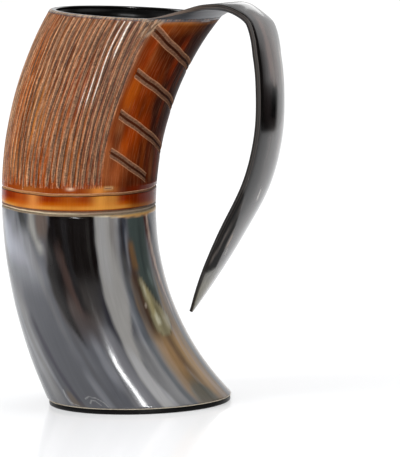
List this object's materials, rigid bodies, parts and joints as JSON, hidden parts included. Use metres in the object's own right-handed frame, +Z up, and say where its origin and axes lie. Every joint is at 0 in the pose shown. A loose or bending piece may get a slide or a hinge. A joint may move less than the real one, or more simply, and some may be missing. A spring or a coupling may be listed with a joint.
{
  "type": "horn drinking cup",
  "caption": "Drinking cup of one curved horn standing on its wide end, with a carved upper half, a turned band and a bent strap handle ending in a free point.",
  "frame": {"origin": "middle of the underside of the foot disc, on the table", "axes": "+Z up towards the mouth, +X towards the handle, +Y across the handle's plane"},
  "size_m": [0.1272, 0.0674, 0.173],
  "materials": {
    "horn": "polished horn, upper half dyed brown",
    "horn_dark": "polished dark horn",
    "lining": "black drinking-safe coat",
    "plug_wood": "plain turned wood",
    "resin": "clear amber resin",
    "glue": "pale set glue",
    "foot_wood": "wood, black lacquer"
  },
  "bodies": {
    "root": {"horn_body": "horn", "horn_handle": "horn_dark", "inner_lining": "lining", "base_plug": "plug_wood", "seal_bead": "resin", "glue_line": "glue", "foot_disc": "foot_wood"}
  },
  "joints": []
}
